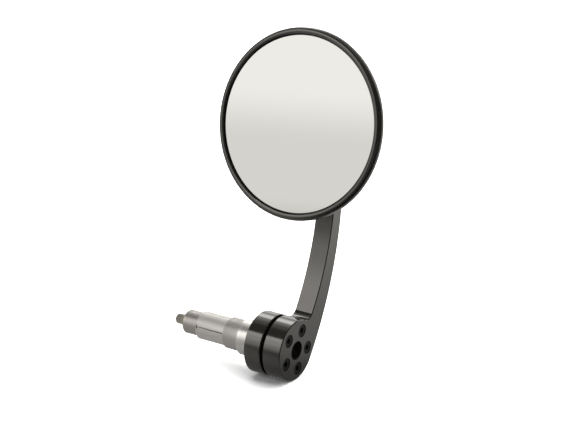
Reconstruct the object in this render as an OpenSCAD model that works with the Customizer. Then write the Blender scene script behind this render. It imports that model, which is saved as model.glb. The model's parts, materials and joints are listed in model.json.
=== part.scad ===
// Round mirror on a curved arm that fixes in the open end of a handlebar.
// The bar plug lies along X, +X points outboard, +Z is up and the glass faces the rider at -Y.
// The origin is on the plug axis, in the plane where the collar stops against the bar's end.

/* [Clamp discs] */
// Diameter of the arm's hub and of the clamp ring behind it
hub_d = 34; // [30:0.5:40]
// Thickness of the arm and of its hub
arm_t = 11; // [9:0.5:14]
// Open gap between the two clamp discs
clamp_gap = 1.8; // [1:0.1:2.4]
// Thickness of the clamp ring
ring_t = 10.2; // [9:0.1:14]
// Width of the broken edges on the black pieces
edge_c = 0.4; // [0.2:0.05:0.6]
// Diameter of the hole that leads to the expander screw
access_d = 10.4; // [10.2:0.1:11.5]

/* [Clamp screws] */
// Number of clamp screws
screw_count = 5; // [3:1:5]
// Diameter of the circle that the clamp screws lie on
screw_pcd = 22; // [21.6:0.1:24]
// Direction of the first clamp screw, from +Y towards +Z
screw_angle = 60; // [0:1:90]
// Thread diameter of a clamp screw
screw_d = 4; // [3:0.1:4]
// Length of a clamp screw under its head
screw_len = 16; // [12:0.5:17]
// Head diameter of a clamp screw
screw_head_d = 7; // [6:0.1:7]
// Head height of a clamp screw
screw_head_h = 4; // [3:0.1:4.4]
// Width across the flats of the clamp screws' sockets
screw_hex = 3; // [2:0.1:3.4]
// Depth of a screw's head below the face
screw_sink = 0.3; // [0:0.05:0.8]

/* [Plug spindle] */
// Diameter of the spindle's flange between the discs
flange_d = 16.6; // [15.6:0.1:16.8]
// Depth of the seats that hold the flange
flange_seat = 3; // [2:0.1:3.6]
// Diameter of the spindle inside the clamp ring
stem_d = 14; // [13:0.1:14.6]
// Diameter of the spindle's nose inside the collar and the sleeve
nose_d = 12; // [11:0.1:12.6]
// Length of the nose behind the bar stop
nose_len = 6; // [4:0.1:7]

/* [Collar and sleeve] */
// Diameter of the collar that stops on the bar's end
collar_d = 20; // [19:0.1:22]
// Length of the collar
collar_len = 10; // [6:0.1:14]
// Diameter of the sleeve inside the bar
sleeve_d = 17.5; // [17:0.1:18.5]
// Length of the sleeve
sleeve_len = 9.7; // [8.5:0.1:14]
// Depth of the recess in the collar that takes the sleeve's end
sleeve_seat = 1.5; // [1:0.1:3]
// How far the sleeve's end is turned down inside that recess
sleeve_relief = 0.5; // [0.3:0.05:1]
// Width of the broken edges on the turned metal
turned_c = 0.3; // [0.1:0.05:0.5]

/* [Expander] */
// Diameter of the slotted collet
collet_d = 15.7; // [15.2:0.1:16.8]
// Length of the slotted collet outside the sleeve
collet_len = 18.7; // [17:0.1:24]
// Number of slits in the collet
slit_count = 4; // [2:1:6]
// Width of a slit
slit_w = 0.5; // [0.4:0.1:1.2]
// Direction of the notched slit, from +Y towards +Z
slit_angle = 165; // [0:1:359]
// Width of the notch at the notched slit's mouth
notch_w = 2.3; // [1.4:0.1:3]
// Length of that notch
notch_len = 1.3; // [1:0.1:2.4]
// Diameter of the cone nut
nut_d = 13.4; // [13:0.1:13.8]
// Length of the cone nut outside the collet
nut_len = 9.9; // [8:0.1:14]
// Length of the cone inside the collet
cone_len = 11; // [8:0.5:12]
// Half angle of the cone
cone_angle = 8; // [6:0.5:9]
// Travel of the cone nut when the expander screw is tightened
nut_travel = 2; // [1:0.1:2.2]
// Thread diameter of the expander screw
bolt_d = 6; // [5:0.1:6]
// Length of the screw's end that stands out of the cone nut
bolt_end = 7.3; // [5:0.1:12]
// Head diameter of the expander screw
bolt_head_d = 10; // [9:0.1:10]
// Head height of the expander screw
bolt_head_h = 6; // [5:0.1:6.4]
// Width across the flats of the expander screw's socket
bolt_hex = 5; // [4:0.1:5.4]
// Thickness of the washer under the expander screw's head
washer_t = 1; // [0.8:0.1:1.4]

/* [Arm] */
// Radius of the arm's rear edge
rear_r = 169; // [150:1:190]
// Direction in which the rear edge leaves the hub, from +Y towards +Z
rear_start = 53.7; // [50:0.1:57]
// Width of the arm where it is narrowest
neck_w = 7.8; // [7:0.1:9]
// Shift between the centres of the two edges, which widens the root
flare = 25.4; // [22:0.1:28]
// Direction of that shift, from +Y towards +Z
flare_angle = 3.8; // [2:0.1:6]
// Radius of the fillet between the arm and the hub
root_fillet = 5.5; // [3:0.1:7]
// Height of the stud's axis in the middle of the arm, above the plug axis
tip_z = 115.3; // [100:0.1:124]
// Diameter of the eye at the arm's tip
eye_d = 13; // [12.4:0.1:15]
// Length of the eye along the stud
eye_len = 10.5; // [9.5:0.1:12]

/* [Ball joint] */
// Tilt of the ball stud above level
stud_tilt = 15; // [0:1:20]
// Distance from the ball's centre to the middle of the arm
stud_reach = 19.8; // [19.6:0.1:26]
// Diameter of the ball
ball_d = 12; // [11:0.1:12.4]
// Diameter of the stud's neck and thread
stud_d = 6; // [5:0.1:6]
// Width across the flats of the stud's collar and of its nut
stud_hex = 10; // [9:0.1:10.5]
// Thickness of the stud's hexagonal collar
stud_hex_t = 3; // [2:0.1:3.4]
// Thickness of the stud's nut
stud_nut_t = 3.2; // [2.5:0.1:5]
// Thickness of the washer under the stud's nut
stud_washer_t = 1; // [0.6:0.1:1.6]
// Length of thread that stands out of the stud's nut
stud_end = 1.2; // [0.5:0.1:3]
// Wall of the seat round the ball
seat_wall = 1.55; // [1.2:0.05:1.7]
// Distance from the seat's rim to the ball's middle
seat_drop = 2.6; // [2.5:0.1:3.2]
// Turn of the mirror on its ball, towards -X when negative
mirror_turn = -2; // [-10:0.5:10]

/* [Mirror] */
// Diameter of the rim
rim_d = 100.5; // [80:0.5:120]
// Radius of the rounded front of the rim
rim_round = 2.15; // [1.6:0.05:2.4]
// Distance from the glass back to the centre of that round
rim_back = 0.85; // [0.4:0.05:1]
// Width of the rim
rim_w = 3.35; // [2.8:0.05:4]
// Chamfer at the back of the rim
rim_c = 0.4; // [0.2:0.05:1]
// Width of the rubber seal round the glass
seal_w = 0.5; // [0.3:0.05:0.8]
// Depth of the seal below the glass
seal_sink = 0.3; // [0.1:0.05:0.6]
// Thickness of the glass
glass_t = 2; // [1.5:0.1:3]
// Thickness of the adhesive pad behind the glass
pad_t = 0.8; // [0.5:0.1:1.2]
// Distance from the glass to the ball's middle
ball_depth = 12; // [11.6:0.1:16]
// Thickness of the shell's outer edge
shell_edge = 0.8; // [0.6:0.1:1.2]
// Distance that the shell's outer edge lies inside the rim
shell_inset = 1.6; // [1.2:0.1:3]
// Rise of the shell's domed back
shell_rise = 5.4; // [3:0.1:6]
// Wall of the shell behind its pocket
shell_wall = 2; // [1.5:0.1:2.6]
// Diameter of the socket boss and of its cap
boss_d = 27; // [26.6:0.1:32]
// Thickness of the socket's cap
cap_t = 5; // [4.6:0.1:6]
// Half angle of the opening in the cap
cap_open = 57; // [56:0.5:60]
// Flare of that opening, from the stud's axis
cap_flare = 30; // [24:1:36]
// Number of cap screws
cap_screw_count = 3; // [3:1:6]
// Diameter of the circle that the cap screws lie on
cap_pcd = 20.8; // [20.6:0.1:21.4]
// Thread diameter of a cap screw
cap_screw_d = 2.5; // [2:0.1:2.5]
// Length of a cap screw under its head
cap_screw_len = 7; // [5:0.1:8]
// Head diameter of a cap screw
cap_head_d = 4.5; // [3.8:0.1:4.6]
// Head height of a cap screw
cap_head_h = 2.5; // [2:0.1:2.6]
// Width across the flats of the cap screws' sockets
cap_hex = 2; // [1.5:0.1:2.4]

/* [Fits] */
// Radial clearance of turning and threaded pieces
fit = 0.05; // [0.02:0.01:0.08]
// Axial clearance between clamped faces
face_gap = 0.02; // [0.01:0.01:0.05]
// Clearance where a head sits in its hole
head_gap = 0.1; // [0.05:0.05:0.2]
// Gap between the clamp ring and the collar
ring_gap = 0.2; // [0.1:0.05:0.5]

/* [Hidden] */
$fn = 96;
arc_fn = 240;

// A small overlap, so that cuts pass clean through a face
over = 1;
// How far the arm's edges bite into the hub where they meet, so that no face is only touched
bite = 0.05;

black = "#2b2a2a";
dark_steel = "#3a3a3c";
silver = "#c9c8c5";
grey_metal = "#9a9a9b";
white_metal = "#dedcd6";

// Stations along the plug axis
ring_x = collar_len + ring_gap;
hub_x = ring_x + ring_t + clamp_gap;
face_x = hub_x + arm_t;
collet_x = -sleeve_len - collet_len;
nut_x = collet_x - nut_len;
flange_x = ring_x + ring_t - flange_seat + face_gap;
flange_t = clamp_gap + 2 * flange_seat - 2 * face_gap;
spindle_end_x = flange_x + flange_t;
// How deep the bolt head lies in the spindle
bolt_sink = 1;
bolt_seat_x = spindle_end_x - bolt_sink - bolt_head_h - washer_t;
head_x = bolt_seat_x + washer_t + face_gap;
screw_seat_x = face_x - screw_sink - screw_head_h;
screw_r = screw_d / 2;
bolt_r = bolt_d / 2;
hub_r = hub_d / 2;

// Expander cone: a step in from the nut's rim, then the cone. The collet's mouth clears the rim all
// round and by more than the travel, and its taper meets the cone at the end of the travel.
cone_step = 0.6;
mouth_gap = 0.3;
mouth_spare = 0.5;
cone_r = nut_d / 2 - cone_step;
cone_tip_r = cone_r - cone_len * tan(cone_angle);
cone_gap = nut_travel * tan(cone_angle) + fit;
mouth_r = nut_d / 2 + mouth_gap;
mouth_len = nut_travel + mouth_spare;
// Wall that the slits leave standing at the root of the jaws
jaw_web = 0.6;
// The collet's tail fills the sleeve's bore up to a small gap before the spindle's nose
tail_gap = 0.3;
tail_len = sleeve_len - nose_len - tail_gap;

// Arm outline, in the plane of the plug's cross-section
rear_c = -(rear_r - hub_r + bite) * [sin(rear_start), -cos(rear_start)];
front_r = rear_r - neck_w - flare;
front_c = rear_c + flare * [cos(flare_angle), sin(flare_angle)];
function edge_y(c, r, z) = c[0] + sqrt(r * r - pow(z - c[1], 2));
tip_y = (edge_y(rear_c, rear_r, tip_z) + edge_y(front_c, front_r, tip_z)) / 2;
tip = [tip_y, tip_z];
// The root fillet touches the hub from outside and the front edge from inside
to_front = norm(front_c);
fillet_hub = hub_r + root_fillet;
fillet_front = front_r - root_fillet;
fillet_turn = acos((pow(to_front, 2) + pow(fillet_hub, 2) - pow(fillet_front, 2))
                   / (2 * to_front * fillet_hub));
fillet_dir = atan2(front_c[1], front_c[0]) - fillet_turn;
fillet_c = fillet_hub * [cos(fillet_dir), sin(fillet_dir)];
fillet_touch = front_c + front_r * (fillet_c - front_c) / norm(fillet_c - front_c);

// Ball joint
arm_mid_x = hub_x + arm_t / 2;
stud_dir = [cos(stud_tilt), -sin(stud_tilt)];
ball_c = tip - stud_reach * stud_dir;
ball_r = ball_d / 2;
stud_r = stud_d / 2;
eye_r = eye_d / 2;
eye_from = stud_reach - eye_len / 2;
eye_to = stud_reach + eye_len / 2;
seat_in = ball_r + fit;
seat_out = seat_in + seat_wall;
pocket_r = seat_out + fit;
stud_top = eye_to + stud_washer_t + stud_nut_t + stud_end;

// Mirror, measured from the ball's middle towards the glass, which is the negative side
rim_r = rim_d / 2;
rim_in = rim_r - rim_w;
glass_r = rim_in - seal_w - head_gap;
glass_z = -ball_depth;
pad_z = glass_z + glass_t;
floor_z = pad_z + pad_t;
shell_r = rim_r - shell_inset;
boss_r = boss_d / 2;
shell_edge_z = floor_z + shell_edge;
dome_top_z = shell_edge_z + shell_rise;
dome_c = (pow(shell_r, 2) - pow(boss_r, 2) + pow(shell_edge_z, 2) - pow(dome_top_z, 2))
         / (2 * (shell_edge_z - dome_top_z));
dome_r = norm([shell_r, shell_edge_z - dome_c]);
// A low lip on the shell, which centres the rim
lip_w = 1;
lip_h = 0.6;
// Lands that carry the glass, round the socket boss and inside the rim
boss_land = 3.5;
rim_land = 6;
pocket_in = boss_r + boss_land;
pocket_out = rim_in - rim_land;
cap_seat_z = cap_t - cap_head_h;
cap_screw_angle = 90;
// Height of a socket's floor, as a share of its head's height
socket_floor = 0.45;

// Places what is drawn along +Z on the plug axis, at station x
module on_axis(x = 0) translate([x, 0, 0]) rotate([0, 90, 0]) children();

// Places what is drawn along +X at the angle of a screw or a slit, from +Y towards +Z
module round_axis(angle) rotate([angle, 0, 0]) children();

// Origin at the ball's middle, with +Z along the stud towards the arm
module on_stud()
    translate([arm_mid_x, ball_c[0], ball_c[1]]) rotate([-90 - stud_tilt, 0, 0]) children();

// Origin at the ball's middle, with +Z along the mirror's own axis towards its back
module on_mirror() on_stud() rotate([0, -mirror_turn, 0]) children();

// The clamp screws' axes, drawn along +Z from x = 0
module at_clamp_screws() {
    for (i = [0 : screw_count - 1]) round_axis(screw_angle + i * 360 / screw_count)
        translate([0, screw_pcd / 2, 0]) on_axis() children();
}

// The cap screws' axes, in the mirror's own frame
module at_cap_screws() {
    for (i = [0 : cap_screw_count - 1]) rotate(cap_screw_angle + i * 360 / cap_screw_count)
        translate([cap_pcd / 2, 0, 0]) children();
}

// A disc with broken edges, from z = 0 to t
module edged_disc(r, t, c) {
    rotate_extrude() polygon([[0, 0], [r - c, 0], [r, c], [r, t - c], [r - c, t], [0, t]]);
}

// A plain tube with broken outer edges, by c0 at z = 0 and by c1 at its other end
module edged_tube(r, bore, t, c0, c1) {
    rotate_extrude() polygon([[bore, 0], [r - c0, 0], [r, c0], [r, t - c1], [r - c1, t], [bore, t]]);
}

// A cutter for a concave edge, which opens at both faces of a plate of thickness t
module flared_cutter(r, t, c) {
    rotate_extrude($fn = arc_fn)
        polygon([[0, -over], [r + c + over, -over], [r, c], [r, t - c], [r + c + over, t + over],
                 [0, t + over]]);
}

// A socket cap screw with its head's seat at z = 0 and its thread along -Z
module cap_screw(d, len, head, head_h, hex, edge) {
    difference() {
        rotate_extrude() polygon([[0, -len], [d / 2 - edge, -len], [d / 2, -len + edge], [d / 2, 0],
                                  [head / 2, 0], [head / 2, head_h - edge], [head / 2 - edge, head_h],
                                  [0, head_h]]);
        translate([0, 0, head_h * socket_floor]) cylinder(r = hex / 2 / cos(30), h = head_h, $fn = 6);
    }
}

// The plate of the arm between its two edges, drawn along +Z in the plane of y and z
module arm_blade() {
    far = rear_r + hub_d;
    difference() {
        intersection() {
            translate(rear_c) rotate_extrude($fn = arc_fn)
                polygon([[0, 0], [rear_r - edge_c, 0], [rear_r, edge_c], [rear_r, arm_t - edge_c],
                         [rear_r - edge_c, arm_t], [0, arm_t]]);
            translate([0, 0, -over]) linear_extrude(arm_t + 2 * over)
                polygon([[0, 0], hub_d * [sin(rear_start), -cos(rear_start)], [far, 0],
                         tip + far * stud_dir, tip, tip - eye_len * stud_dir]);
        }
        translate(front_c) flared_cutter(front_r, arm_t, edge_c);
    }
}

// The web that fills the corner between the arm and the hub, down to the fillet
module root_web() {
    difference() {
        linear_extrude(arm_t)
            polygon([[0, 0], fillet_c, fillet_touch, fillet_touch + [2 * edge_c, 0], [hub_r, 0]]);
        translate(fillet_c) flared_cutter(root_fillet + bite, arm_t, edge_c);
    }
}

// One milled piece: hub, curved blade and the eye that carries the ball stud
module arm() {
    color(black) difference() {
        union() {
            translate([hub_x, 0, 0]) multmatrix([[0, 0, 1, 0], [1, 0, 0, 0], [0, 1, 0, 0]]) {
                edged_disc(hub_r, arm_t, edge_c);
                arm_blade();
                root_web();
            }
            on_stud() translate([0, 0, eye_from]) edged_disc(eye_r, eye_len, edge_c);
        }
        on_axis(hub_x - over) cylinder(d = access_d, h = arm_t + 2 * over);
        on_axis(hub_x - over) cylinder(r = flange_d / 2 + fit, h = flange_seat + over);
        at_clamp_screws() {
            translate([0, 0, hub_x - over]) cylinder(r = screw_r + head_gap, h = arm_t);
            translate([0, 0, screw_seat_x]) cylinder(r = screw_head_d / 2 + head_gap, h = arm_t);
        }
        on_stud() translate([0, 0, eye_from - over]) cylinder(r = stud_r + fit, h = eye_len + 2 * over);
        on_stud() translate([0, 0, eye_to]) cylinder(r = eye_r + head_gap, h = eye_len);
    }
}

// The inner clamp disc, with blind threaded holes for the screws
module clamp_ring() {
    color(black) difference() {
        on_axis(ring_x) edged_disc(hub_r, ring_t, edge_c);
        on_axis(ring_x - over) cylinder(r = stem_d / 2 + fit, h = ring_t + 2 * over);
        on_axis(ring_x + ring_t - flange_seat) cylinder(r = flange_d / 2 + fit, h = flange_seat + over);
        at_clamp_screws() translate([0, 0, screw_seat_x - screw_len - face_gap - turned_c])
            cylinder(r = screw_r + face_gap, h = screw_len);
    }
}

module clamp_screws() {
    color(dark_steel) at_clamp_screws() translate([0, 0, screw_seat_x])
        cap_screw(screw_d, screw_len, screw_head_d, screw_head_h, screw_hex, turned_c);
}

// Flange that the discs grip, stem through the ring and nose that centres the collar and the sleeve
module spindle() {
    nose_r = nose_d / 2;
    color(grey_metal) difference() {
        on_axis() rotate_extrude() polygon([[0, -nose_len], [nose_r, -nose_len], [nose_r, collar_len],
            [stem_d / 2, collar_len], [stem_d / 2, flange_x], [flange_d / 2, flange_x],
            [flange_d / 2, spindle_end_x], [0, spindle_end_x]]);
        on_axis(-nose_len - over) cylinder(r = bolt_r + head_gap, h = face_x + nose_len);
        on_axis(bolt_seat_x) cylinder(r = bolt_head_d / 2 + head_gap, h = face_x);
    }
}

// Bright ring that stops on the bar's end, with a recess for the sleeve's end
module collar() {
    color(white_metal) on_axis() difference() {
        edged_tube(collar_d / 2, nose_d / 2 + fit, collar_len, turned_c, turned_c);
        translate([0, 0, -over]) cylinder(r = sleeve_d / 2 + fit, h = sleeve_seat + over);
    }
}

// Grey sleeve that centres the plug in the bar
module adapter_sleeve() {
    r = sleeve_d / 2;
    bore = nose_d / 2 + fit;
    end_r = r - sleeve_relief;
    end_x = sleeve_seat - face_gap;
    color(grey_metal) on_axis() rotate_extrude() polygon([[bore, -sleeve_len],
        [r - turned_c, -sleeve_len], [r, turned_c - sleeve_len], [r, 0], [end_r, 0], [end_r, end_x],
        [bore, end_x]]);
}

// Slotted sleeve whose jaws the cone nut spreads
module collet() {
    r = collet_d / 2;
    tail_r = nose_d / 2;
    base_x = -sleeve_len;
    jaw_x = base_x - jaw_web;
    taper_r = cone_r + cone_gap;
    bore_r = cone_tip_r + cone_gap;
    taper_top = taper_r - mouth_len * tan(cone_angle);
    color(silver) round_axis(slit_angle) difference() {
        round_axis(180 / slit_count) on_axis() rotate_extrude() polygon([
            [bolt_r + head_gap, base_x + tail_len], [tail_r, base_x + tail_len], [tail_r, base_x],
            [r, base_x], [r, collet_x + turned_c], [r - turned_c, collet_x], [mouth_r, collet_x],
            [mouth_r, collet_x + mouth_len], [taper_top, collet_x + mouth_len],
            [bore_r, collet_x + cone_len], [bore_r, jaw_x - over], [bolt_r + head_gap, jaw_x - over]]);
        for (i = [0 : slit_count - 1]) round_axis(i * 360 / slit_count)
            translate([collet_x - over, 0, -slit_w / 2])
                cube([jaw_x - collet_x + over, r + over, slit_w]);
        translate([collet_x - over, 0, -notch_w / 2]) cube([notch_len + over, r + over, notch_w]);
    }
}

// Threaded end ring with a cone that the screw draws into the collet
module cone_nut() {
    r = nut_d / 2;
    color(silver) on_axis() rotate_extrude() polygon([[bolt_r + fit, nut_x], [r - 2 * turned_c, nut_x],
        [r, nut_x + 2 * turned_c], [r, collet_x], [cone_r, collet_x], [cone_tip_r, collet_x + cone_len],
        [bolt_r + fit, collet_x + cone_len]]);
}

// Long socket screw that runs through the plug
module expander_bolt() {
    color(grey_metal) on_axis(head_x)
        cap_screw(bolt_d, head_x - nut_x + bolt_end, bolt_head_d, bolt_head_h, bolt_hex, 2 * turned_c);
}

module bolt_washer() {
    color(silver) on_axis(bolt_seat_x)
        edged_tube(bolt_head_d / 2, bolt_r + head_gap, washer_t, turned_c / 2, turned_c / 2);
}

// Ball, neck, hexagonal collar and thread in one piece
module ball_stud() {
    color(dark_steel) on_stud() {
        sphere(r = ball_r);
        cylinder(r = stud_r, h = stud_top - turned_c);
        translate([0, 0, stud_top - turned_c])
            cylinder(r1 = stud_r, r2 = stud_r - turned_c, h = turned_c);
        translate([0, 0, eye_from - stud_hex_t])
            cylinder(r = stud_hex / 2 / cos(30), h = stud_hex_t, $fn = 6);
    }
}

module stud_washer() {
    color(silver) on_stud() translate([0, 0, eye_to])
        edged_tube(stud_hex / 2 / cos(30), stud_r + fit, stud_washer_t, turned_c / 2, turned_c / 2);
}

module stud_nut() {
    color(dark_steel) on_stud() translate([0, 0, eye_to + stud_washer_t]) difference() {
        intersection() {
            cylinder(r = stud_hex / 2 / cos(30), h = stud_nut_t, $fn = 6);
            edged_disc(stud_hex / 2 / cos(30), stud_nut_t, turned_c);
        }
        translate([0, 0, -over]) cylinder(r = stud_r + fit, h = stud_nut_t + 2 * over);
    }
}

// Spherical nylon cup between the ball and the shell
module ball_seat() {
    color("#e4e0d6") on_mirror() difference() {
        sphere(r = seat_out);
        sphere(r = seat_in);
        translate([0, 0, seat_out - seat_drop]) cube(2 * seat_out, center = true);
    }
}

// Turned rear shell: domed back, pocket under the glass and the lower half of the ball socket
module mirror_shell() {
    color(black) on_mirror() difference() {
        union() {
            rotate_extrude() intersection() {
                translate([0, dome_c]) circle(r = dome_r, $fn = arc_fn);
                translate([0, floor_z]) square([shell_r, -floor_z]);
            }
            translate([0, 0, floor_z]) cylinder(r = boss_r, h = -floor_z);
            translate([0, 0, floor_z]) cylinder(r = shell_r, h = shell_edge);
            rotate_extrude() translate([rim_in, floor_z - lip_h]) square([lip_w, lip_h + shell_edge]);
        }
        rotate_extrude() intersection() {
            translate([0, dome_c]) circle(r = dome_r - shell_wall, $fn = arc_fn);
            translate([pocket_in, floor_z - over]) square([pocket_out - pocket_in, ball_depth]);
        }
        sphere(r = pocket_r);
        at_cap_screws() translate([0, 0, cap_seat_z - cap_screw_len - turned_c])
            cylinder(r = cap_screw_d / 2 + face_gap, h = cap_screw_len);
    }
}

// Rear half of the ball socket, with a flared opening for the stud
module ball_cap() {
    lip_z = seat_in * cos(cap_open);
    lip_r = seat_in * sin(cap_open);
    color(black) on_mirror() difference() {
        rotate_extrude() polygon([[0, 0], [boss_r, 0], [boss_r, cap_t - edge_c],
                                  [boss_r - edge_c, cap_t], [0, cap_t]]);
        sphere(r = seat_in);
        rotate_extrude() polygon([[0, lip_z], [lip_r, lip_z],
            [lip_r + (cap_t + over - lip_z) * tan(cap_flare), cap_t + over], [0, cap_t + over]]);
        at_cap_screws() {
            translate([0, 0, -over]) cylinder(r = cap_screw_d / 2 + head_gap, h = cap_t + over);
            translate([0, 0, cap_seat_z]) cylinder(r = cap_head_d / 2 + head_gap, h = cap_t);
        }
    }
}

module cap_screws() {
    color(dark_steel) on_mirror() at_cap_screws() translate([0, 0, cap_seat_z])
        cap_screw(cap_screw_d, cap_screw_len, cap_head_d, cap_head_h, cap_hex, turned_c / 2);
}

module glass_pad() {
    color("#5a5a58") on_mirror() translate([0, 0, pad_z]) cylinder(r = glass_r - turned_c, h = pad_t);
}

module mirror_glass() {
    color("#dcdbd8") on_mirror() translate([0, 0, glass_z]) cylinder(r = glass_r, h = glass_t);
}

// Rubber ring between the glass and the rim
module glass_seal() {
    color("#1a1a1a") on_mirror() rotate_extrude()
        translate([glass_r + head_gap / 2, glass_z + seal_sink])
            square([seal_w, floor_z - glass_z - seal_sink]);
}

// Turned rim with a rounded front, which drops over the shell's lip
module rim_ring() {
    color(black) on_mirror() rotate_extrude() difference() {
        union() {
            intersection() {
                translate([rim_r - rim_round, glass_z + rim_back]) circle(r = rim_round);
                translate([rim_in, glass_z - rim_round]) square([rim_w, 2 * rim_round]);
            }
            polygon([[rim_in, glass_z + rim_back], [rim_r, glass_z + rim_back], [rim_r, floor_z - rim_c],
                     [rim_r - rim_c, floor_z], [rim_in, floor_z]]);
        }
        translate([rim_in - over, floor_z - lip_h - face_gap])
            square([over + lip_w + face_gap, lip_h + over]);
    }
}

arm();
clamp_ring();
clamp_screws();
spindle();
collar();
adapter_sleeve();
collet();
cone_nut();
expander_bolt();
bolt_washer();
ball_stud();
stud_washer();
stud_nut();
ball_seat();
mirror_shell();
ball_cap();
cap_screws();
glass_pad();
mirror_glass();
glass_seal();
rim_ring();
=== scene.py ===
import json
import math

import bpy
import numpy as np
from bpy.props import FloatProperty, FloatVectorProperty, IntProperty, PointerProperty
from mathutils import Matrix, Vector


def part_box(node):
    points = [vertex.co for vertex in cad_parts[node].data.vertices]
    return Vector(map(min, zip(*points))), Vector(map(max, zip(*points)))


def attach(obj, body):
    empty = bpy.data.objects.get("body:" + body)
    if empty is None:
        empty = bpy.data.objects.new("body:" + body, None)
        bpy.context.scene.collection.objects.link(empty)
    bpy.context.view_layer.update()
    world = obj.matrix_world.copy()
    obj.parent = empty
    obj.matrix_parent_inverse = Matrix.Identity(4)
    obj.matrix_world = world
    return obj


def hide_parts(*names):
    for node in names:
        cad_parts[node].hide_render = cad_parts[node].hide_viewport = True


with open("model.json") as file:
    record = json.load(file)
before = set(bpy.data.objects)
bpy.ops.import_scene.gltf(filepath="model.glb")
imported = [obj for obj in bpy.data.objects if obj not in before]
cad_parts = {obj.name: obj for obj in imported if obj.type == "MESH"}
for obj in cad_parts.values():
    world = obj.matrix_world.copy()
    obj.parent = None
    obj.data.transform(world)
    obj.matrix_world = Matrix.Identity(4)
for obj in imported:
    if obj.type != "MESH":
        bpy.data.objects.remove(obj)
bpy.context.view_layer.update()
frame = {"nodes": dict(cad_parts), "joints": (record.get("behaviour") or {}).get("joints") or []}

bl_info = {
    "name": "Bar end mirror",
    "version": (1, 0, 0),
    "blender": (4, 5, 0),
    "location": "View3D > Sidebar > Mirror",
    "description": "Metal finishes, threads, glass and a studio for a round bar end mirror",
    "category": "Object",
}

MM = 0.001
NODES = frame["nodes"]
JOINTS = {joint["name"]: joint for joint in frame["joints"]}

# The plug lies along X. The mirror's axis runs from the ball through the middle of the glass, and the
# stud's axis is square to the joint that the mirror turns on.
PLUG_AXIS = np.array((1.0, 0.0, 0.0))
BALL = np.array(JOINTS["mirror_tilt"]["pos_m"])
TURN_AXIS = np.array(JOINTS["mirror_turn"]["axis"])
STUD_AXIS = np.cross(TURN_AXIS, PLUG_AXIS)


def linear(code):
    """Turns an sRGB hex colour into linear red, green, blue and alpha."""
    channels = np.array([int(code[i:i + 2], 16) for i in (1, 3, 5)]) / 255
    low = channels / 12.92
    high = ((channels + 0.055) / 1.055) ** 2.4
    return (*np.where(channels <= 0.04045, low, high), 1.0)


def box_middle(name):
    """Middle of a node's box, as an array."""
    low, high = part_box(name)
    return (np.array(low) + np.array(high)) / 2


# Surfaces

# Faces that meet at more than this angle stay a sharp edge
SHARP_EDGE_DEG = 32
# A thread has this many rings to a pitch. Its triangle wave would run past crest and root by this share
# of its depth, and is cut flat there.
RINGS_PER_PITCH = 12
THREAD_PAST = 0.125


def axis_frame(axis):
    """Three unit vectors at right angles, the last along the axis."""
    along = np.asarray(axis, float) / np.linalg.norm(axis)
    helper = np.array((0.0, 0.0, 1.0)) if abs(along[2]) < 0.9 else np.array((1.0, 0.0, 0.0))
    side = np.cross(helper, along)
    side /= np.linalg.norm(side)
    return side, np.cross(along, side), along


def placed(name, data):
    """A new object with this data, linked into the scene."""
    made = bpy.data.objects.new(name, data)
    bpy.context.scene.collection.objects.link(made)
    return made


def angles(sides):
    """Angles of the points round a ring."""
    return np.arange(sides) * 2 * math.pi / sides


def ringed_mesh(name, stations, radii, origin, axis):
    """A closed surface round an axis, as a grid of rings and angles.

    The point at ring i and angle a is origin + station[i] along the axis + radius[i, a] outwards.
    A pole closes each end, in the middle of the first and of the last ring.
    """
    count, sides = radii.shape
    side, over, along = axis_frame(axis)
    turn = angles(sides)
    outward = np.cos(turn)[:, None] * side + np.sin(turn)[:, None] * over
    stations = np.broadcast_to(np.asarray(stations, float)[:, None], radii.shape)
    points = origin + stations[..., None] * along + radii[..., None] * outward
    poles = np.stack((points[0].mean(axis=0), points[-1].mean(axis=0)))
    first = np.arange(sides)
    second = (first + 1) % sides
    row = np.arange(count - 1)[:, None] * sides
    quads = np.stack((row + first, row + second, row + sides + second, row + sides + first), axis=-1)
    start = count * sides
    last = start - sides
    caps = [(start, b, a) for a, b in zip(first.tolist(), second.tolist())]
    caps += [(start + 1, last + a, last + b) for a, b in zip(first.tolist(), second.tolist())]
    mesh = bpy.data.meshes.new(name)
    vertices = np.concatenate((points.reshape(-1, 3), poles))
    mesh.from_pydata(vertices.tolist(), [], quads.reshape(-1, 4).tolist() + caps)
    mesh.polygons.foreach_set("use_smooth", np.ones(len(mesh.polygons), bool))
    mesh.set_sharp_from_angle(angle=math.radians(SHARP_EDGE_DEG))
    mesh.update()
    return placed(name, mesh)


def rings(radii, sides):
    """Round rings of these radii, one in each row."""
    return np.repeat(np.asarray(radii, float)[:, None], sides, axis=1)


def hexagon(across_flats, sides):
    """Radii of a ring with six flats: half the width over the cosine of the angle from a flat's middle."""
    sector = math.pi / 3
    from_flat = np.mod(angles(sides) + sector / 2, sector) - sector / 2
    return across_flats / 2 / np.cos(from_flat)


def arc(radius, start_deg, end_deg, steps):
    """Stations and radii along a circle's arc about the origin, in the plane through the axis."""
    turn = np.radians(np.linspace(start_deg, end_deg, steps))
    return radius * np.sin(turn), radius * np.cos(turn)


def thread_rings(thread, radius, start, end, fade_in, fade_out):
    """Stations and radii of a 60 degree thread from start to end.

    The radius is the shank's less a triangle wave of the station less one pitch a turn. The wave
    grows over one pitch from fade_in, and shrinks over the last pitch before fade_out.
    """
    pitch = thread.pitch
    stations = np.arange(start, end, pitch / RINGS_PER_PITCH)
    phase = np.mod(stations[:, None] / pitch - angles(thread.sides) / (2 * math.pi), 1.0)
    wave = np.clip(np.abs(phase - 0.5) * 2 * (1 + 2 * THREAD_PAST) - THREAD_PAST, 0, 1)
    fade = np.clip((stations - fade_in) / pitch, 0, 1) * np.clip((fade_out - stations) / pitch, 0, 1)
    return stations, radius - thread.depth * wave * fade[:, None]


# Materials

# Noise lies mostly between these two values
NOISE_RANGE = (0.35, 0.65)


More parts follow.
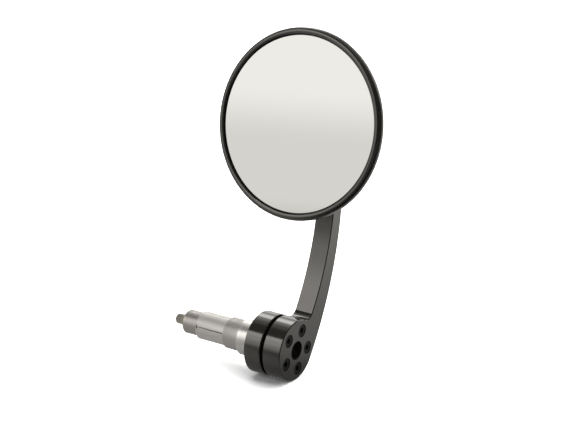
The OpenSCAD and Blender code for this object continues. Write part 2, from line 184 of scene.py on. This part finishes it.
def new_material(name):
    """A material with an empty node tree, and that tree."""
    made = bpy.data.materials.new(name)
    made.use_nodes = True
    made.node_tree.nodes.clear()
    return made, made.node_tree


def add(tree, kind, inputs=(), **settings):
    """Adds a node, sets its properties, and sets or links its inputs.

    Inputs come in order, or in a dictionary by name or number. A node stands for its first output.
    """
    made = tree.nodes.new(kind)
    for key, value in settings.items():
        setattr(made, key, value)
    pairs = inputs.items() if isinstance(inputs, dict) else enumerate(inputs)
    for key, value in pairs:
        if isinstance(value, bpy.types.Node):
            value = value.outputs[0]
        if isinstance(value, bpy.types.NodeSocket):
            tree.links.new(value, made.inputs[key])
        else:
            made.inputs[key].default_value = value
    return made


def grain(tree, sizes, detail=2.0, rough=0.5):
    """Smooth noise with features of these sizes along X, Y and Z of the object."""
    point = add(tree, "ShaderNodeTexCoord").outputs["Object"]
    per_metre = [1 / size for size in sizes]
    counted = add(tree, "ShaderNodeVectorMath", (point, per_metre), operation="MULTIPLY")
    return add(tree, "ShaderNodeTexNoise", {
        "Vector": counted, "Scale": 1.0, "Detail": detail, "Roughness": rough})


def lathe_rings(tree, spacing, detail, rough):
    """Noise of the station along X and the distance from X, as the rings that a lathe's tool leaves."""
    point = add(tree, "ShaderNodeTexCoord").outputs["Object"]
    x, y, z = add(tree, "ShaderNodeSeparateXYZ", (point,)).outputs
    across = add(tree, "ShaderNodeCombineXYZ", (0.0, y, z))
    radius = add(tree, "ShaderNodeVectorMath", (across,), operation="LENGTH").outputs["Value"]
    profile = add(tree, "ShaderNodeCombineXYZ", (x, radius))
    per_metre = (1 / spacing, 1 / spacing, 1)
    counted = add(tree, "ShaderNodeVectorMath", (profile, per_metre), operation="MULTIPLY")
    return add(tree, "ShaderNodeTexNoise", {
        "Vector": counted, "Scale": 1.0, "Detail": detail, "Roughness": rough})


def surface(tree, looks, uneven, roughness, relief, depth):
    """Links the material's shader to its output.

    Looks are inputs of the shader. The roughness runs between its two values with the noise called
    uneven, and the noise called relief raises the surface by up to the depth.
    """
    rough = add(tree, "ShaderNodeMapRange", (uneven, *NOISE_RANGE, *roughness))
    normal = add(tree, "ShaderNodeBump", {"Height": relief, "Distance": depth, "Strength": 1.0})
    shader = add(tree, "ShaderNodeBsdfPrincipled", {**looks, "Roughness": rough, "Normal": normal})
    add(tree, "ShaderNodeOutputMaterial", {"Surface": shader})


def black_anodised(name, black, marks):
    """Black anodised aluminium: a hard clear oxide over near black, which mirrors more than paint.

    marks is "turned" on lathe work, which is smooth with fine rings round the plug's axis, or
    "milled", which has an even grain and is a little duller.
    """
    made, tree = new_material(name)
    if marks == "turned":
        lines = lathe_rings(tree, 0.35 * MM, detail=3.0, rough=0.6)
        depth, roughness = 0.0005 * MM, (0.11, 0.16)
    else:
        lines = grain(tree, (0.5 * MM,) * 3, detail=3.0, rough=0.6)
        depth, roughness = 0.0006 * MM, (0.2, 0.26)
    cloud = grain(tree, (9 * MM,) * 3)
    tone = add(tree, "ShaderNodeMix", {0: cloud, 6: black, 7: linear("#161612")}, data_type="RGBA")
    looks = {"Base Color": tone.outputs[2], "Metallic": 0.0, "IOR": 2.1,
             "Specular Tint": linear("#fffaf3")}
    surface(tree, looks, lines, roughness, lines, depth)
    return made


def oxide_steel(name):
    """Black oxide steel, as on socket screws. Its thin film is dull and nearly black."""
    made, tree = new_material(name)
    film = grain(tree, (0.4 * MM,) * 3)
    tone = add(tree, "ShaderNodeMix", {0: film, 6: linear("#1a1918"), 7: linear("#141312")},
               data_type="RGBA")
    looks = {"Base Color": tone.outputs[2], "Metallic": 0.1, "Specular IOR Level": 0.25}
    surface(tree, looks, film, (0.5, 0.6), film, 0.003 * MM)
    return made


def bare_metal(tree, marks, uneven, pale, dark, roughness, depth, metallic):
    """Finishes a bare metal, whose marks of the tool turn it from pale to dark and roughen its sheen.

    A metallic share just below one adds the plain scatter of a scuffed surface.
    """
    share = add(tree, "ShaderNodeMapRange", (marks, *NOISE_RANGE, 0.0, 1.0))
    tone = add(tree, "ShaderNodeMix", {0: share, 6: pale, 7: dark}, data_type="RGBA")
    surface(tree, {"Base Color": tone.outputs[2], "Metallic": metallic}, uneven, roughness, marks, depth)


def turned_metal(name, pale, dark, rough, depth=0.0015 * MM, metallic=1.0):
    """Bare metal from the lathe. Fine rings round the plug's axis break up its reflections."""
    made, tree = new_material(name)
    marks = lathe_rings(tree, 0.3 * MM, detail=4.0, rough=0.65)
    cloud = grain(tree, (5 * MM,) * 3)
    bare_metal(tree, marks, cloud, pale, dark, (rough - 0.04, rough + 0.04), depth, metallic)
    return made


def brushed_along(name, pale, dark, rough, metallic):
    """Aluminium brushed along the plug, which draws fine bright lines from end to end of the jaws."""
    made, tree = new_material(name)
    lines = grain(tree, (14 * MM, 0.35 * MM, 0.35 * MM), detail=4.0, rough=0.65)
    bare_metal(tree, lines, lines, pale, dark, (rough - 0.06, rough + 0.06), 0.003 * MM, metallic)
    return made


def silvered_glass(name):
    """Float glass silvered behind. It is all reflection, with hardly any tint."""
    made, tree = new_material(name)
    shader = add(tree, "ShaderNodeBsdfPrincipled", {
        "Base Color": linear("#f1efe9"), "Metallic": 1.0, "Roughness": 0.02})
    add(tree, "ShaderNodeOutputMaterial", {"Surface": shader})
    return made


def soft_plastic(name, code, rough, size):
    """Nylon, rubber or foam: a plain moulded skin with a fine grain."""
    made, tree = new_material(name)
    skin = grain(tree, (size,) * 3)
    surface(tree, {"Base Color": linear(code)}, skin, (rough - 0.05, rough + 0.05), skin, 0.01 * MM)
    return made


def paint(name, made):
    """Gives a CAD node, by its name, or a piece one material."""
    target = NODES[name] if isinstance(name, str) else name
    if not target.data.materials:
        target.data.materials.append(made)
    for index in range(len(target.data.materials)):
        target.data.materials[index] = made


# Settings

class FinishSettings(bpy.types.PropertyGroup):
    """Colours of the metals."""

    black: FloatVectorProperty(
        name="Black", description="Colour of the black anodised pieces", subtype="COLOR", size=4,
        min=0, max=1, default=linear("#1b1b17"))
    bright: FloatVectorProperty(
        name="Bright", description="Colour of the bare aluminium", subtype="COLOR", size=4,
        min=0, max=1, default=linear("#f5f2ec"))
    grey: FloatVectorProperty(
        name="Grey", description="Colour of the grey sleeve", subtype="COLOR", size=4,
        min=0, max=1, default=linear("#e6e2dd"))
    steel: FloatVectorProperty(
        name="Steel", description="Colour of the plain steel", subtype="COLOR", size=4,
        min=0, max=1, default=linear("#fdf9f0"))


class ThreadSettings(bpy.types.PropertyGroup):
    """Sizes of the 6 mm threads."""

    pitch: FloatProperty(
        name="Pitch", description="Distance from one crest to the next", unit="LENGTH",
        min=0.5 * MM, max=1.5 * MM, default=1.0 * MM)
    depth: FloatProperty(
        name="Depth", description="Depth of the thread", unit="LENGTH",
        min=0.2 * MM, max=0.8 * MM, default=0.55 * MM)
    sides: IntProperty(
        name="Sides", description="Points round a screw", min=48, max=192, default=96)


class StudioSettings(bpy.types.PropertyGroup):
    """The floor, the lamp and the camera."""

    floor_drop: FloatProperty(
        name="Floor", description="Height of the floor", unit="LENGTH",
        min=-0.1, max=0.0, default=-17.05 * MM)
    floor_reach: FloatProperty(
        name="Floor reach", description="Half width of the floor", unit="LENGTH",
        min=1.0, max=20.0, default=8.0)
    lamp_spread: FloatProperty(
        name="Lamp spread", description="Angle that the overhead light spans", subtype="ANGLE",
        default=math.radians(131))
    lamp_tilt: FloatProperty(
        name="Lamp tilt", description="Angle of the overhead light from straight above", subtype="ANGLE",
        default=math.radians(46))
    lamp_turn: FloatProperty(
        name="Lamp turn", description="Direction of that tilt, where 180 degrees is straight behind",
        subtype="ANGLE", default=math.radians(166))
    lamp_power: FloatProperty(
        name="Lamp power", description="Strength of the overhead light in watts a square metre",
        default=4.7)
    lens: FloatProperty(
        name="Lens", description="Focal length for a 36 mm wide picture", min=20, max=300, default=112.2)
    distance: FloatProperty(
        name="Distance", description="Distance from the camera to the hub's face", unit="LENGTH",
        min=0.3, max=3.0, default=0.9538)
    azimuth: FloatProperty(
        name="Azimuth", description="Direction of the camera round the mirror", subtype="ANGLE",
        default=math.radians(33.221))
    elevation: FloatProperty(
        name="Elevation", description="Height angle of the camera", subtype="ANGLE",
        default=math.radians(20.54))


# Stage

# The studio's lit walls and soft boxes: turn from +Y towards -X and height angle, each from where to
# where with the width of its soft edges, all in degrees, and the brightness that each one adds. Left,
# right, front and behind are meant as the camera sees them.
SOFT_LIGHTS = (
    # Large box in front on the left, brighter towards its top and cut off sharply there
    ((138, 154, 45, 20), (0, 43.3, 6, 1.0), 0.42),
    ((138, 154, 45, 20), (26, 43.3, 13, 1.0), 0.55),
    ((138, 154, 45, 20), (36, 41, 3, 3.0), 0.4),
    # Narrow box straight behind with a bright core, a low box below it, and the wall round them
    ((35, 46, 7, 5), (26, 44, 9, 6), 1.0),
    ((38, 45, 5, 4), (33, 44, 6, 5), 1.9),
    ((26, 36, 5, 5), (4, 15, 7, 5), 1.1),
    ((20, 85, 12, 8), (-4, 50, 6, 8), 0.4),
    # White backdrop behind on the right
    ((-28, 12, 10, 10), (-4, 22, 6, 8), 1.0),
    # Dim ceiling, with paler panels behind and behind on the right
    ((-180, 180, 1, 1), (52, 90, 8, 1), 0.05),
    ((30, 80, 15, 20), (50, 90, 8, 1), 0.22),
    ((40, 58, 10, 12), (46, 55, 4, 6), 0.25),
    ((-50, 0, 15, 15), (60, 90, 10, 1), 0.4),
)
# Two steps in the large box: the height angle of each one's lower edge, the width of that soft edge,
# and the brightness that it adds. The edge has that height at the turn LEAN_FROM, and rises by LEAN
# degrees for each degree of turn beyond it.
LEANING_STEPS = ((4.6, 1.4, 0.29), (8.2, 1.8, 0.21))
LEAN = 0.23
LEAN_FROM = 143
# Brightness of the room elsewhere
DARK_WALL = 0.04
# Behind on the floor is along Y plus a share of X, and to the right is along X less a share of Y,
# because the camera looks in between the two
BEHIND_SHARE_X = 0.6
RIGHT_SHARE_Y = 0.8
# How bright the floor is in reflections, as painted light and shade. Each row runs from one place to
# another in metres, and has the brightness or the factor at both: painted light brightens it behind, it
# fades on the right, a painted shadow darkens it under the discs by the distance from them, and painted
# light adds some in front.
PAINTED_LIGHT_BEHIND = (0.0, 0.4, 0.34, 1.0)
PAINTED_FADE_RIGHT = (0.03, 0.12, 1.0, 0.06)
# Painted shadow under the discs, in the floor's reflection
PAINTED_SHADOW_UNDER = (0.012, 0.048, 0.46, 1.0)
PAINTED_LIGHT_FRONT = (-0.08, -0.55, 0.0, 0.2)
# The paper's colour to the camera, and in the light that it throws back on the object
PAPER_SEEN = (0.8, 0.8, 0.8, 1.0)
PAPER_PLAIN = (0.7, 0.7, 0.7, 1.0)
WHITE = (1.0, 1.0, 1.0, 1.0)
# Where the hub's face lies from the picture's middle, in pixels of a frame 571 pixels wide, and the
# width of the film that the lens is meant for
PICTURE_W = 571
HUB_RIGHT_PX = 12.69
HUB_BELOW_PX = 136.479
FILM_W_MM = 36


def soft_band(tree, value, limits):
    """One between two angles, with a smooth fall to nothing beyond each."""
    low, high, low_edge, high_edge = (math.radians(angle) for angle in limits)
    rising = add(tree, "ShaderNodeMapRange", (value, low - low_edge, low, 0.0, 1.0),
                 interpolation_type="SMOOTHSTEP")
    falling = add(tree, "ShaderNodeMapRange", (value, high, high + high_edge, 1.0, 0.0),
                  interpolation_type="SMOOTHSTEP")
    return add(tree, "ShaderNodeMath", (rising, falling), operation="MULTIPLY")


def soft_patch(tree, turn, height, turn_limits, height_limits):
    """One inside a patch of turn and height angles, with a smooth fall to nothing round it."""
    across = soft_band(tree, turn, turn_limits)
    upwards = soft_band(tree, height, height_limits)
    return add(tree, "ShaderNodeMath", (across, upwards), operation="MULTIPLY")


def light_studio(settings):
    """Soft boxes and pale walls round a dark room. The camera itself sees plain white."""
    world = bpy.data.worlds.new("studio")
    world.use_nodes = True
    tree = world.node_tree
    tree.nodes.clear()
    direction = add(tree, "ShaderNodeTexCoord").outputs["Generated"]
    x, y, z = add(tree, "ShaderNodeSeparateXYZ", (direction,)).outputs
    leftward = add(tree, "ShaderNodeMath", (x, -1.0), operation="MULTIPLY")
    turn = add(tree, "ShaderNodeMath", (leftward, y), operation="ARCTAN2")
    height = add(tree, "ShaderNodeMath", (z,), operation="ARCSINE")
    bright = DARK_WALL
    for turn_limits, height_limits, strength in SOFT_LIGHTS:
        patch = soft_patch(tree, turn, height, turn_limits, height_limits)
        bright = add(tree, "ShaderNodeMath", (patch, strength, bright), operation="MULTIPLY_ADD")
    front_turn, front_height, _ = SOFT_LIGHTS[0]
    whole = soft_patch(tree, turn, height, front_turn, front_height)
    aside = add(tree, "ShaderNodeMath", (turn, math.radians(LEAN_FROM)), operation="SUBTRACT")
    leaning = add(tree, "ShaderNodeMath", (aside, -LEAN, height), operation="MULTIPLY_ADD")
    for step, edge, strength in LEANING_STEPS:
        limits = (math.radians(step - edge), math.radians(step), 0.0, strength)
        rising = add(tree, "ShaderNodeMapRange", (leaning, *limits), interpolation_type="SMOOTHSTEP")
        bright = add(tree, "ShaderNodeMath", (rising, whole, bright), operation="MULTIPLY_ADD")
    studio = add(tree, "ShaderNodeBackground", {"Color": WHITE, "Strength": bright})
    seen = add(tree, "ShaderNodeBackground", {"Color": WHITE, "Strength": 1.0})
    camera_ray = add(tree, "ShaderNodeLightPath").outputs["Is Camera Ray"]
    mixed = add(tree, "ShaderNodeMixShader", (camera_ray, studio, seen))
    add(tree, "ShaderNodeOutputWorld", {"Surface": mixed})
    bpy.context.scene.world = world
    lamp_data = bpy.data.lights.new("overhead_light", "SUN")
    lamp_data.angle = settings.lamp_spread
    lamp_data.energy = settings.lamp_power
    lamp = placed("overhead_light", lamp_data)
    lamp.visible_glossy = False
    lamp.rotation_euler = (settings.lamp_tilt, 0, settings.lamp_turn)


def floor_paper():
    """White matt paper. Its reflection has the shades that the black discs show in the photo.

    The camera sees the paper twice over, so that plain lamps leave it white and its shadow stays.
    """
    made, tree = new_material("floor_paper")
    point = add(tree, "ShaderNodeTexCoord").outputs["Object"]
    x, y, _ = add(tree, "ShaderNodeSeparateXYZ", (point,)).outputs
    behind = add(tree, "ShaderNodeMath", (x, BEHIND_SHARE_X, y), operation="MULTIPLY_ADD")
    rightward = add(tree, "ShaderNodeMath", (y, -RIGHT_SHARE_Y, x), operation="MULTIPLY_ADD")
    flat = add(tree, "ShaderNodeCombineXYZ", (x, y))
    discs = tuple(box_middle("arm") * (1, 0, 0))
    away = add(tree, "ShaderNodeVectorMath", (flat, discs), operation="DISTANCE").outputs["Value"]
    # Painted light and shade of the floor, which only reflections show: brighter behind
    painted_floor_light = add(tree, "ShaderNodeMapRange", (behind, *PAINTED_LIGHT_BEHIND))
    # It fades on the right, and a painted shadow darkens it near the discs
    for place, limits in ((rightward, PAINTED_FADE_RIGHT), (away, PAINTED_SHADOW_UNDER)):
        factor = add(tree, "ShaderNodeMapRange", (place, *limits), interpolation_type="SMOOTHSTEP")
        painted_floor_light = add(tree, "ShaderNodeMath", (painted_floor_light, factor), operation="MULTIPLY")
    # Painted light adds some in front
    front = add(tree, "ShaderNodeMapRange", (behind, *PAINTED_LIGHT_FRONT), interpolation_type="SMOOTHSTEP")
    painted_floor_light = add(tree, "ShaderNodeMath", (painted_floor_light, front), operation="ADD")
    paper = add(tree, "ShaderNodeBsdfDiffuse", {"Color": PAPER_SEEN})
    seen = add(tree, "ShaderNodeAddShader", (paper, paper))
    # The floor glows with that painted light and shade for reflected rays only
    painted_reflection = add(tree, "ShaderNodeEmission", {"Strength": painted_floor_light})
    plain = add(tree, "ShaderNodeBsdfDiffuse", {"Color": PAPER_PLAIN})
    path = add(tree, "ShaderNodeLightPath")
    other = add(tree, "ShaderNodeMixShader", (path.outputs["Is Glossy Ray"], plain, painted_reflection))
    mixed = add(tree, "ShaderNodeMixShader", (path.outputs["Is Camera Ray"], other, seen))
    add(tree, "ShaderNodeOutputMaterial", {"Surface": mixed})
    return made


def lay_floor(settings):
    """One large square under the object."""
    reach = settings.floor_reach
    signs = ((-1, -1), (1, -1), (1, 1), (-1, 1))
    corners = [(x * reach, y * reach, settings.floor_drop) for x, y in signs]
    mesh = bpy.data.meshes.new("floor")
    mesh.from_pydata(corners, [], [(0, 1, 2, 3)])
    floor = placed("floor", mesh)
    paint(floor, floor_paper())


def place_camera(settings):
    """Puts the camera so that the hub's face lies where the picture has it."""
    azimuth, elevation = settings.azimuth, settings.elevation
    right = np.array((math.cos(azimuth), math.sin(azimuth), 0))
    back = np.array((math.sin(azimuth) * math.cos(elevation),
                     -math.cos(azimuth) * math.cos(elevation), math.sin(elevation)))
    up = np.cross(back, right)
    focal_px = settings.lens / FILM_W_MM * PICTURE_W
    face = np.array((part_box("arm")[1][0], 0, 0))
    aside = (HUB_RIGHT_PX * right - HUB_BELOW_PX * up) / focal_px
    data = bpy.data.cameras.new("camera")
    data.lens = settings.lens
    data.sensor_width = FILM_W_MM
    data.clip_end = 100
    camera = placed("camera", data)
    camera.location = face + settings.distance * (back - aside)
    camera.rotation_euler = (math.pi / 2 - elevation, 0, azimuth)
    bpy.context.scene.camera = camera


class MIRROR_OT_stage(bpy.types.Operator):
    """Lay the floor, light the studio and place the camera."""

    bl_idname = "mirror.stage"
    bl_label = "Stage"

    def execute(self, context):
        settings = context.scene.mirror_studio
        lay_floor(settings)
        light_studio(settings)
        place_camera(settings)
        context.scene.view_settings.view_transform = "Standard"
        return {"FINISHED"}


class MIRROR_OT_black_pieces(bpy.types.Operator):
    """Give the arm, the clamp ring, the shell, its cap and the rim their anodised black."""

    bl_idname = "mirror.black_pieces"
    bl_label = "Black pieces"

    def execute(self, context):
        black = tuple(context.scene.mirror_finish.black)
        turned = black_anodised("black anodised aluminium, turned", black, "turned")
        milled = black_anodised("black anodised aluminium, milled", black, "milled")
        for name in ("clamp_ring", "arm"):
            paint(name, turned)
        for name in ("mirror_shell", "ball_cap", "rim_ring"):
            paint(name, milled)
        return {"FINISHED"}


class MIRROR_OT_plug(bpy.types.Operator):
    """Give the collar, the sleeve, the collet, the cone nut, the spindle and the washers bare metal."""

    bl_idname = "mirror.plug"
    bl_label = "Plug"

    def execute(self, context):
        settings = context.scene.mirror_finish
        bright = tuple(settings.bright)
        grey = tuple(settings.grey)
        paint("collar", turned_metal(
            "turned aluminium", bright, linear("#e6e2da"), 0.31, metallic=0.87))
        paint("adapter_sleeve", turned_metal(
            "satin grey aluminium", grey, linear("#dad6d0"), 0.54, depth=0.0005 * MM))
        paint("collet", brushed_along(
            "brushed aluminium", bright, linear("#f4f0e9"), 0.55, metallic=0.94))
        paint("cone_nut", turned_metal(
            "dull turned aluminium", linear("#dad5cd"), linear("#c6c1b9"), 0.46))
        steel = turned_metal("zinc plated steel", linear("#c2beb4"), linear("#a5a197"), 0.3)
        for name in ("spindle", "bolt_washer", "stud_washer"):
            paint(name, steel)
        return {"FINISHED"}


class MIRROR_OT_fasteners(bpy.types.Operator):
    """Give the screws and the nut their black oxide."""

    bl_idname = "mirror.fasteners"
    bl_label = "Fasteners"

    def execute(self, context):
        oxide = oxide_steel("black oxide steel")
        for name in ("clamp_screws", "cap_screws", "stud_nut"):
            paint(name, oxide)
        return {"FINISHED"}


class MIRROR_OT_expander_screw(bpy.types.Operator):
    """Make the expander screw with its socket, chamfers and thread."""

    bl_idname = "mirror.expander_screw"
    bl_label = "Expander screw"

    head_height: FloatProperty(
        name="Head height", description="Height of the head", unit="LENGTH", default=6 * MM)
    shank: FloatProperty(
        name="Shank", description="Diameter of the shank", unit="LENGTH", default=6 * MM)
    socket: FloatProperty(
        name="Socket", description="Width across the socket's flats", unit="LENGTH", default=5 * MM)
    threaded: FloatProperty(
        name="Threaded length", description="Length of the thread from the tip", unit="LENGTH",
        default=30 * MM)

    def execute(self, context):
        thread = context.scene.mirror_thread
        sides = thread.sides
        # Chamfers of tip and head, the metal left under the socket, the socket's eased mouth, and the
        # hollow of the drill's point below it
        edge = 0.6 * MM
        left_under = 0.45 * self.head_height
        mouth, mouth_depth = 0.25 * MM, 0.2 * MM
        drill_point = 0.8 * MM
        low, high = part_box("expander_bolt")
        tip, top = low[0], high[0]
        head = high[1]
        radius = self.shank / 2
        seat = top - self.head_height
        root = tip + self.threaded
        floor = seat + left_under
        cut, crest = thread_rings(thread, radius, tip + edge, root, tip - thread.pitch, root)
        flats = hexagon(self.socket, sides)
        radii = np.concatenate((
            rings((0, radius - edge), sides), crest,
            rings((radius, radius, head, head, head - edge), sides),
            np.stack((flats + mouth, flats, flats)), rings((0,), sides)))
        stations = np.concatenate((
            (tip, tip), cut,
            (root, seat, seat, top - edge, top), (top, top - mouth_depth, floor), (floor - drill_point,)))
        piece = ringed_mesh("expander_screw", stations, radii, np.zeros(3), PLUG_AXIS)
        oiled = tuple(context.scene.mirror_finish.steel)
        paint(piece, turned_metal("plain steel, oiled", oiled, linear("#e2dbcd"), 0.45))
        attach(piece, "expander_screw")
        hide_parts("expander_bolt")
        return {"FINISHED"}


class MIRROR_OT_ball_stud(bpy.types.Operator):
    """Make the ball stud with its hexagonal collar and thread."""

    bl_idname = "mirror.ball_stud"
    bl_label = "Ball stud"

    ball: FloatProperty(name="Ball", description="Diameter of the ball", unit="LENGTH", default=12 * MM)
    neck: FloatProperty(name="Neck", description="Diameter of the neck", unit="LENGTH", default=6 * MM)
    collar: FloatProperty(
        name="Collar", description="Width across the collar's flats", unit="LENGTH", default=10 * MM)

    def execute(self, context):
        thread = context.scene.mirror_thread
        sides = thread.sides
        # Stations from the ball's middle: the collar's two faces, the thread's start and the end
        collar_from, collar_to = 11.55 * MM, 14.55 * MM
        thread_from, end = 24.0 * MM, 30.45 * MM
        edge = 0.3 * MM
        ball_rings = 48
        radius = self.neck / 2
        ball_r = self.ball / 2
        neck_at = math.degrees(math.acos(radius / ball_r))
        round_ball, ball_radii = arc(ball_r, -90, neck_at, ball_rings)
        cut, crest = thread_rings(thread, radius, thread_from, end - edge, thread_from,
                                  end + 2 * thread.pitch)
        flats = hexagon(self.collar, sides)
        # The collar's corners are turned down on both faces
        corner_r = self.collar / 2 / math.cos(math.pi / 6)
        eased = np.minimum(flats, corner_r - edge)
        radii = np.concatenate((
            rings(ball_radii, sides), rings((radius,), sides), np.stack((eased, flats, flats, eased)),
            rings((radius,), sides), crest, rings((radius - edge, 0), sides)))
        stations = np.concatenate((
            round_ball, (collar_from,),
            (collar_from, collar_from + edge, collar_to - edge, collar_to),
            (collar_to,), cut, (end, end)))
        piece = ringed_mesh("ball_stud_threaded", stations, radii, BALL, STUD_AXIS)
        paint(piece, oxide_steel("black oxide steel, stud"))
        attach(piece, "arm")
        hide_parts("ball_stud")
        return {"FINISHED"}


class MIRROR_OT_glass(bpy.types.Operator):
    """Make the mirror glass with its ground edge, and finish the seal, the pad and the seat."""

    bl_idname = "mirror.glass"
    bl_label = "Glass"

    ground: FloatProperty(
        name="Ground edge", description="Width of the ground edge", unit="LENGTH", default=0.25 * MM)
    thickness: FloatProperty(
        name="Thickness", description="Thickness of the glass", unit="LENGTH", default=2 * MM)

    def execute(self, context):
        middle = box_middle("mirror_glass")
        forward = middle - BALL
        low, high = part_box("mirror_glass")
        across = high[0] - low[0]
        axis = forward / np.linalg.norm(forward)
        # A tilted disc is as wide along X as its diameter times the cosine of its tilt, plus the share
        # of its edge
        slope = abs(axis[0])
        radius = (across - self.thickness * slope) / 2 / math.sqrt(1 - slope ** 2)
        half = self.thickness / 2
        sides = 256
        radii = rings((0, radius, radius, radius - self.ground, 0), sides)
        stations = np.array((-half, -half, half - self.ground, half, half))
        piece = ringed_mesh("silvered_glass", stations, radii, middle, axis)
        paint(piece, silvered_glass("silvered glass"))
        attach(piece, "mirror")
        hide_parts("mirror_glass")
        paint("glass_seal", soft_plastic("black rubber", "#0f0f0f", 0.6, 0.3 * MM))
        paint("glass_pad", soft_plastic("grey foam tape", "#4a4a48", 0.9, 0.5 * MM))
        paint("ball_seat", soft_plastic("natural nylon", "#e6e2d7", 0.45, 0.6 * MM))
        return {"FINISHED"}


class MIRROR_PT_panel(bpy.types.Panel):
    """Lists the operators in the sidebar."""

    bl_idname = "MIRROR_PT_panel"
    bl_label = "Bar end mirror"
    bl_space_type = "VIEW_3D"
    bl_region_type = "UI"
    bl_category = "Mirror"

    def draw(self, context):
        for operator in OPERATORS:
            self.layout.operator(operator.bl_idname)
        for settings in (context.scene.mirror_finish, context.scene.mirror_thread,
                         context.scene.mirror_studio):
            for key in settings.__annotations__:
                self.layout.prop(settings, key)


OPERATORS = (MIRROR_OT_stage, MIRROR_OT_black_pieces, MIRROR_OT_plug, MIRROR_OT_fasteners,
             MIRROR_OT_expander_screw, MIRROR_OT_ball_stud, MIRROR_OT_glass)
CLASSES = (FinishSettings, ThreadSettings, StudioSettings, *OPERATORS, MIRROR_PT_panel)


def register():
    """Adds the classes and their settings."""
    for each in CLASSES:
        bpy.utils.register_class(each)
    bpy.types.Scene.mirror_finish = PointerProperty(type=FinishSettings)
    bpy.types.Scene.mirror_thread = PointerProperty(type=ThreadSettings)
    bpy.types.Scene.mirror_studio = PointerProperty(type=StudioSettings)


def unregister():
    """Takes them out again."""
    del bpy.types.Scene.mirror_finish
    del bpy.types.Scene.mirror_thread
    del bpy.types.Scene.mirror_studio
    for each in reversed(CLASSES):
        bpy.utils.unregister_class(each)


def main():
    """Registers the add-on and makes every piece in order."""
    register()
    bpy.ops.mirror.stage()
    bpy.ops.mirror.black_pieces()
    bpy.ops.mirror.plug()
    bpy.ops.mirror.fasteners()
    bpy.ops.mirror.expander_screw()
    bpy.ops.mirror.ball_stud()
    bpy.ops.mirror.glass()


if __name__ == "__main__":
    main()
